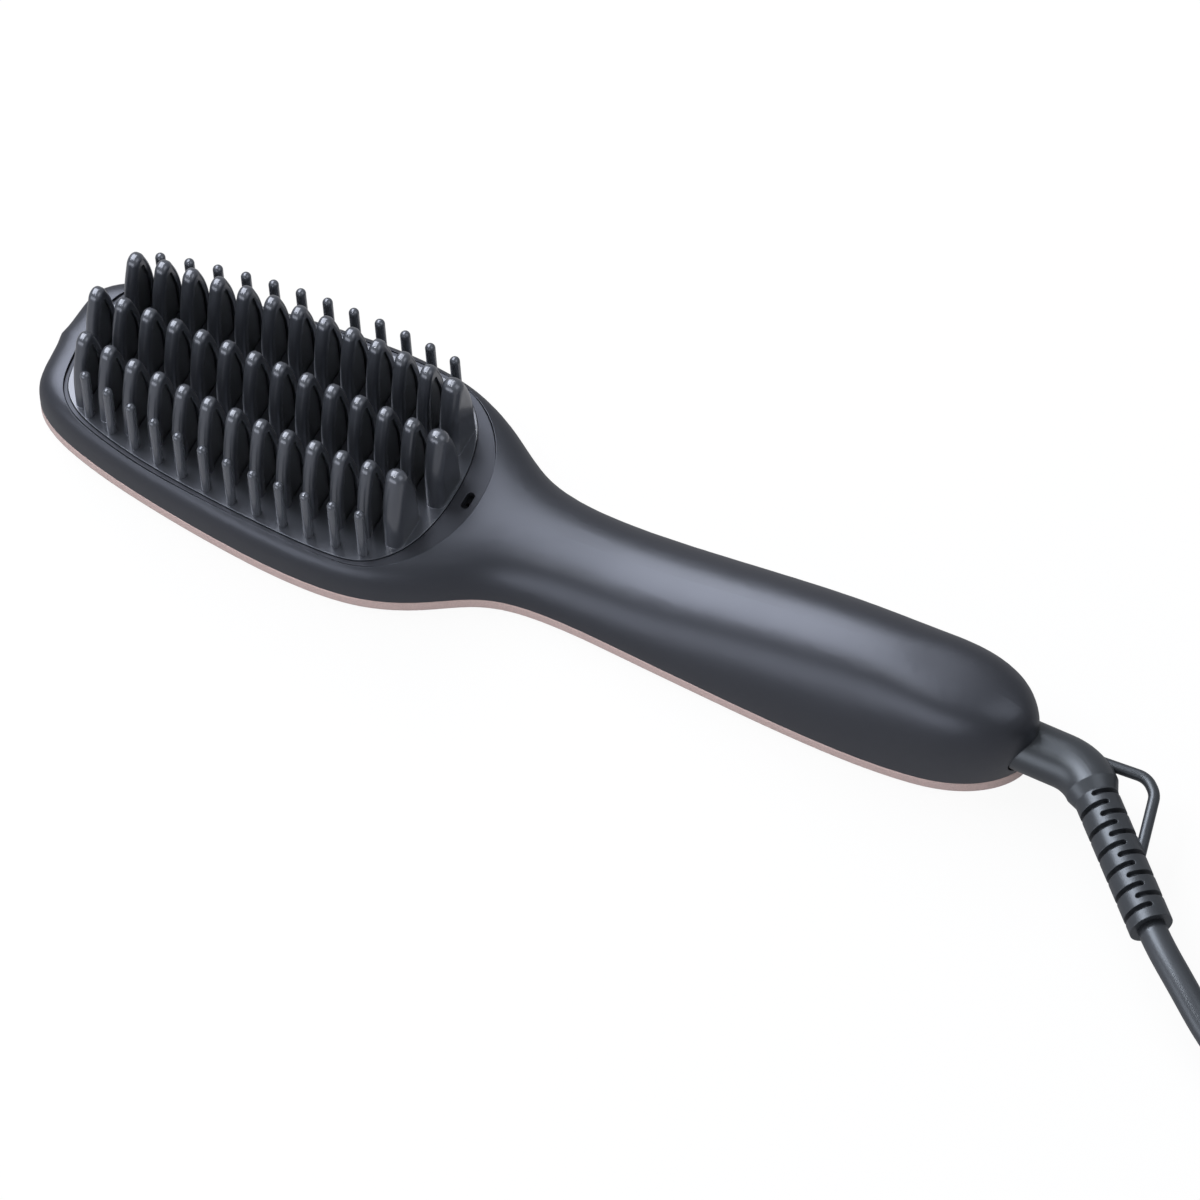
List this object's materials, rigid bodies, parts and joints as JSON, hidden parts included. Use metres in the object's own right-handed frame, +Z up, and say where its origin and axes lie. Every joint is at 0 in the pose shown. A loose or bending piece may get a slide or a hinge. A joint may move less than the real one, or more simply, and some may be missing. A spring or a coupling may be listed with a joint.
{
  "type": "heated styling brush",
  "caption": "Heated hair straightening brush with arch shaped comb fins round heated blades, a rounded grip, controls on the back and a swivelling mains cord with a hang loop.",
  "frame": {"origin": "middle of the body's length and width, on the surface that its back lies on", "axes": "+X from the tip of the head to the tail, +Y across the head to the left of the tail, +Z up from the back through the bristles"},
  "size_m": [0.466, 0.1218, 0.0402],
  "materials": {
    "satin_black": "satin",
    "rose_gold": "satin",
    "gloss_black": "gloss",
    "heater_coat": "dark hard coat",
    "ceramic": "matt",
    "mica": "satin",
    "steel": "brushed",
    "brass": "polished",
    "board": "satin",
    "nylon": "matt",
    "clear": "gloss",
    "lamp": "gloss",
    "cord_rubber": "satin",
    "pin_metal": "polished"
  },
  "bodies": {
    "brush": {"upper_shell": "satin_black", "rear_cover": "rose_gold", "head_bezel": "satin_black", "comb_cover": "satin_black", "edge_pins": "gloss_black", "heater_plate": "heater_coat", "heater_strips": "ceramic", "mica_sheet": "mica", "heater_clamp": "steel", "heater_tray": "nylon", "tray_screws": "steel", "thermal_fuse": "ceramic", "thermistor": "ceramic", "ion_emitter": "nylon", "ion_needle": "steel", "control_board": "board", "board_screws": "steel", "tact_switches": "gloss_black", "indicator_leds": "lamp", "light_guide": "clear", "ion_module": "gloss_black", "board_components": "gloss_black", "case_screws": "steel", "swivel_bush": "nylon", "contact_springs": "brass", "power_cord": "cord_rubber", "cord_coil": "cord_rubber", "cord_tail": "cord_rubber", "cord_tie": "cord_rubber", "mains_plug": "cord_rubber", "plug_pins": "pin_metal"},
    "power_button": {"power_button": "satin_black"},
    "temperature_button": {"temperature_button": "satin_black"},
    "swivel": {"swivel_core": "satin_black", "contact_rings": "brass", "cord_guard": "cord_rubber"}
  },
  "joints": [
    {"name": "power_press", "type": "slide", "parent": "brush", "child": "power_button", "axis": [0, 0, 1], "range_m": [0, 0.0007], "stiffness_N_per_m": 1500, "springref_m": -0.0004},
    {"name": "temperature_press", "type": "slide", "parent": "brush", "child": "temperature_button", "axis": [0, 0, 1], "range_m": [0, 0.0007], "stiffness_N_per_m": 1500, "springref_m": -0.0004},
    {"name": "cord_swivel", "type": "hinge", "parent": "brush", "child": "swivel", "pos_m": [0.13, 0, 0.012], "axis": [-1, 0, 0], "continuous": true, "deforming": ["power_cord"]}
  ]
}
